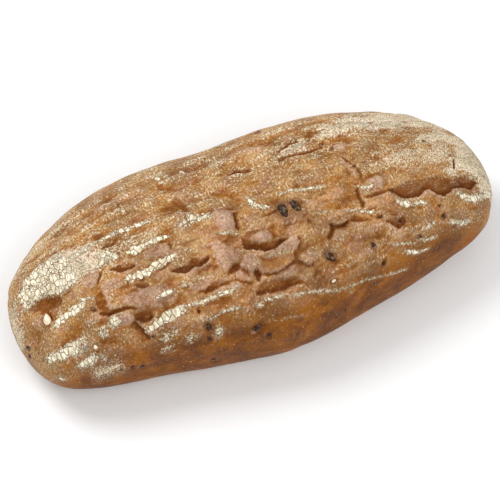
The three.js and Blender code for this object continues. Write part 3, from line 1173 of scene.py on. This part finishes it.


# The colours of the crust and its flour, as they look in the light of the stage.
# Deep brown for painted shade, in the cracks, hollows, steps, seed dents and dips.
DEEP_SHADE = linear(88, 44, 8)
BROWN = linear(130, 76, 10)
ORANGE = linear(158, 106, 48)
TAN = linear(178, 141, 94)
PINK = linear(192, 158, 136)
HAZE = linear(200, 177, 140)
FLOUR = linear(252, 243, 218)
FLOUR_SHADE = linear(212, 196, 162)
LOW_BROWN = linear(100, 52, 2)
# Brown for painted shade on sunken crust, in the hollows and in the dips.
SHADE_BROWN = linear(126, 70, 16)
CAKED_SHADE = linear(208, 194, 164)
PILED = linear(250, 234, 208)
PILED_SHADE = linear(224, 204, 176)
AMBER = linear(186, 128, 76)
OCHRE = linear(172, 122, 50)
MAUVE = linear(170, 122, 92)
PINK_SHADE = linear(150, 110, 82)
FLOUR_CRACK = linear(118, 82, 44)
DARK_SEED = (linear(36, 20, 10), linear(74, 44, 24), linear(150, 128, 100))
PALE_SEED = (linear(240, 228, 206), linear(214, 192, 160), FLOUR)

# Factors on the colour: in the grain of the crust, and over broad parts of it.
DARKER = (0.55, 0.45, 0.33)
LIGHTER = (1.34, 1.46, 1.62)
SHADED = (0.73, 0.7, 0.67)
BRIGHTENED = (1.23, 1.25, 1.27)

# How much the chart is stretched for the sand, the pores and the plates of flour.
SAND_STRETCH = (1.15, 0.8, 1)
PORE_STRETCH = (1.1, 0.85, 1)
PLATE_STRETCH = (1.25, 0.65, 1)


class CrustFinish(Finish):
    """Baked dough under a haze of flour, with flour caked on it."""

    def __init__(self):
        super().__init__("crust")
        self.mottle = self.noise(12, 5, 0.6)
        self.patch = self.noise(4.5, 4, 0.6, stretch=(0.6, 1, 1))
        self.grain = self.noise(1.5, 3, 0.6)
        self.chart = self.field("chart", "Vector")
        in_metres = self.scaled(self.chart, MM)
        self.sand = self.noise(1.7, 4, 0.8, place=in_metres, stretch=SAND_STRETCH)
        self.pores = self.noise(1.1, 2, 0.6, place=in_metres, stretch=PORE_STRETCH)
        self.crest = self.field("crest")
        self.dust = self.field("dust")
        self.lying = self.times(self.dust, self.span(self.crest, 0.25, 0.6))

        colour = self.dusted(self.baked())
        colour, cover = self.caked(colour)
        # Painted shade in the cracks, hollows, steps and seed dents.
        crevice_shade = self.times(self.field("crevice_shade"), 0.85)
        self.set("Base Color", self.coated(colour, (crevice_shade, DEEP_SHADE)))
        rough = self.span(self.lying, 0.1, 0.5, 0.5, 0.75)
        self.set("Roughness", self.math("MAXIMUM", rough, self.times(cover, 0.95)))
        self.set("Specular IOR Level", 0.12)
        sandy = self.times(self.sand, self.span(self.lying, 0, 0.5, 0.4, 1))
        relief = self.bump(self.grain, 0.36)
        relief = self.bump(sandy, 0.5, relief)
        self.set("Normal", self.bump(cover, 0.35, relief))

    def cut(self, name, ragged, soft):
        """A field cut off at its drawn edge, which noise makes uneven."""
        uneven = self.minus(self.plus(self.grain, self.patch), 1.0)
        value = self.times_plus(uneven, ragged, self.field(name))
        return self.span(value, 0.5 - soft, 0.5 + soft)

    def baked(self):
        """The crust without flour: tan and orange, browner low on the front and underneath, painted shade in
        the dips, and pale pink on the crests, partly a painted highlight.
        """
        ochre = self.noise(9, 3, 0.5)
        mauve = self.noise(7, 3, 0.5, stretch=(0.5, 1, 1))
        rosy = self.mix(self.span(self.grain, 0.35, 0.65), PINK_SHADE, PINK)
        worn = self.mix(self.span(self.patch, 0.4, 0.7), AMBER, ORANGE)
        low_brown = self.mix(self.span(self.mottle, 0.42, 0.58), BROWN, LOW_BROWN)
        colour = self.coated(
            self.mix(self.span(self.mottle, 0.4, 0.6), ORANGE, TAN),
            (self.span(ochre, 0.52, 0.66, high=0.55), OCHRE),
            (self.span(mauve, 0.52, 0.66, high=0.8), MAUVE),
            (self.span(self.patch, 0.5, 0.7, high=0.75), BROWN),
            (self.times(self.cut("film", 1.1, 0.3), 0.9), rosy),
            (self.times(self.cut("bare", 0.6, 0.2), 0.85), worn),
            # Deep brown painted shade on sunken crust and in the hollows.
            (self.times(self.cut("sunken_shade", 0.9, 0.3), 0.85), SHADE_BROWN),
            (self.times(self.field("low_darkening"), 0.95), low_brown),
            (self.span(self.grain, 0.5, 0.75, high=0.4), BROWN),
            # From the crest: pale pink on the crests, partly flour left there and partly a painted highlight,
            # and painted shade in the dips, brown then deep brown.
            (self.span(self.crest, 0.52, 0.85, high=0.42), PINK),
            (self.span(self.crest, 0.5, 0.28, high=0.7), SHADE_BROWN),
            (self.span(self.crest, 0.34, 0.05, high=0.7), DEEP_SHADE),
        )
        broad = self.mix(self.span(self.noise(20, 4, 0.7), 0.38, 0.62), SHADED, BRIGHTENED)
        return self.mix(1.0, colour, broad, "MULTIPLY")

    def dusted(self, colour):
        """A haze of flour and its coarser grains: sandy, with the crust's pores showing through."""
        soft = self.times(self.lying, self.span(self.patch, 0.35, 0.6, 0.2, 0.7))
        piled = self.span(self.times_plus(self.sand, 1.1, self.dust), 1.15, 1.55, high=0.95)
        powder = self.mix(self.span(self.mottle, 0.35, 0.6), PILED_SHADE, PILED)
        laid = self.times_plus(self.lying, 0.22, self.sand)
        colour = self.coated(
            colour,
            (soft, HAZE),
            (self.times(piled, self.span(self.crest, 0.15, 0.5)), powder),
            (self.span(laid, 0.6, 0.7, high=0.8), FLOUR_SHADE),
        )
        grainy = self.span(self.dust, 0.0, 0.4, 0.35, 1)
        tone = self.mix(self.span(self.sand, 0.3, 0.7), DARKER, LIGHTER)
        pored = self.times(self.span(self.pores, 0.54, 0.6, high=0.8), grainy)
        grains = self.times(self.span(self.pores, 0.4, 0.32), self.span(self.lying, 0.0, 0.6, 0.05, 0.75))
        toned = self.mix(1.0, colour, tone, "MULTIPLY")
        return self.coated(colour, (grainy, toned), (pored, BROWN), (grains, FLOUR))

    def caked(self, colour):
        """Caked flour, cracked into plates as the crust swelled under it, and into chips at its
        edges: the colour with it on, and where it is."""
        shaken = self.shaken(self.chart, 2.5, 1.4)
        own, edge = self.flakes(1.8, shaken, stretch=PLATE_STRETCH)
        _, plate_edge = self.flakes(4.2, shaken, stretch=PLATE_STRETCH)
        uneven = self.plus(self.times(self.patch, 0.5), self.times(self.sand, 0.9))
        ragged = self.plus(self.field("flour"), self.minus(uneven, 0.7))
        chance = self.times_plus(own, 0.36, 0.36)
        present = self.span(self.minus(ragged, chance), -0.02, 0.05)
        thickness = self.times_plus(self.patch, 1.4, self.minus(ragged, 0.7))
        gap = self.span(thickness, 0.45, 1.0, 0.12, -0.06)
        chips = self.times(present, self.span(self.minus(edge, gap), -0.05, 0.06))
        whole = self.span(self.times_plus(self.sand, -0.1, plate_edge), -0.02, 0.03)
        cover = self.times(chips, self.times_plus(whole, 0.92, 0.08))
        cake = self.mix(self.span(self.plus(own, self.sand), 0.65, 1.4), CAKED_SHADE, FLOUR)
        between = self.span(ragged, 0.45, 0.85, high=0.6)
        return self.coated(colour, (between, FLOUR_CRACK), (cover, cake)), cover


def seed_finish(name, light, dull, husk, gloss):
    finish = Finish(name)
    streak = finish.noise(1.2, 3, 0.6)
    colour = finish.coated(
        finish.mix(finish.span(streak, 0.35, 0.7), light, dull),
        (finish.span(finish.noise(2.2, 2), 0.54, 0.62, high=0.5), husk),
        (finish.times(finish.field("buried"), 0.85), PINK_SHADE),
    )
    finish.set("Base Color", colour)
    finish.set("Roughness", finish.span(streak, 0.3, 0.7, gloss, gloss + 0.2))
    finish.set("Normal", finish.bump(streak, 0.2))
    finish.set("Specular IOR Level", 0.25)
    return finish.material


# ---------------------------------------------------------------- the pieces

loaf = make_loaf()
loaf.data.materials.append(CrustFinish().material)
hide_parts("loaf")

dark_seeds = make_seeds("dark_seeds", DARK_SEEDS, plump=0.36, stouter=0.5, proud=0.02, seed=5)
dark_seeds.data.materials.append(seed_finish("dark_seed", *DARK_SEED, gloss=0.4))
pale_seeds = make_seeds("pale_seeds", PALE_SEEDS, plump=0.62, stouter=0.0, proud=0.08, seed=6)
pale_seeds.data.materials.append(seed_finish("pale_seed", *PALE_SEED, gloss=0.5))

for piece in (loaf, dark_seeds, pale_seeds):
    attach(piece, "root")

# ---------------------------------------------------------------- floor, light and camera

# Sizes and places are in metres here, angles in degrees and the lens in millimetres.
FLOOR_HALF = 3.0
LIGHTS_AIM = (0, 0, 0.03)
CAMERA_AZIMUTH = -22.6
CAMERA_ELEVATION = 60.4
CAMERA_DISTANCE = 1.3
CAMERA_LENS = 156.5
AIM_RIGHT = 0.0009  # the loaf stands a little off the middle of the picture
AIM_DOWN = 0.0058


def make_floor():
    signs = ((-1, -1), (1, -1), (1, 1), (-1, 1))
    corners = [(FLOOR_HALF * x, FLOOR_HALF * y, 0) for x, y in signs]
    mesh = bpy.data.meshes.new("floor")
    mesh.from_pydata(corners, [], [(0, 1, 2, 3)])
    floor = new_object("floor", mesh)
    finish = Finish("floor")
    finish.set("Base Color", (0.9, 0.9, 0.9))
    finish.set("Roughness", 0.9)
    floor.data.materials.append(finish.material)


def aim(thing, place, target):
    thing.location = place
    thing.rotation_euler = (Vector(target) - Vector(place)).to_track_quat("-Z", "Y").to_euler()


def make_light(name, place, size, power):
    light = bpy.data.lights.new(name, "AREA")
    light.shape = "DISK"
    light.size = size
    light.energy = power
    aim(new_object(name, light), place, LIGHTS_AIM)


def make_world(strength):
    world = bpy.data.worlds.new("studio")
    bpy.context.scene.world = world
    world.use_nodes = True
    background = world.node_tree.nodes["Background"]
    background.inputs["Color"].default_value = (1, 1, 1, 1)
    background.inputs["Strength"].default_value = strength


def make_camera():
    azimuth = math.radians(CAMERA_AZIMUTH)
    elevation = math.radians(CAMERA_ELEVATION)
    back = Vector(
        (
            math.sin(azimuth) * math.cos(elevation),
            -math.cos(azimuth) * math.cos(elevation),
            math.sin(elevation),
        )
    )
    right = Vector((math.cos(azimuth), math.sin(azimuth), 0))
    up = back.cross(right)
    middle = Vector((0, 0, HEIGHT * MM / 2))
    camera = new_object("camera", bpy.data.cameras.new("camera"))
    camera.data.lens = CAMERA_LENS
    camera.data.clip_end = 20
    aim(camera, middle + back * CAMERA_DISTANCE, middle + right * AIM_RIGHT - up * AIM_DOWN)
    bpy.context.scene.camera = camera


make_floor()
make_light("key", (-0.45, 0.6, 1.1), size=0.6, power=9.5)
make_light("fill", (0.3, -0.9, 1.1), size=1.0, power=8)
make_world(0.62)
make_camera()
bpy.context.scene.view_settings.view_transform = "Standard"
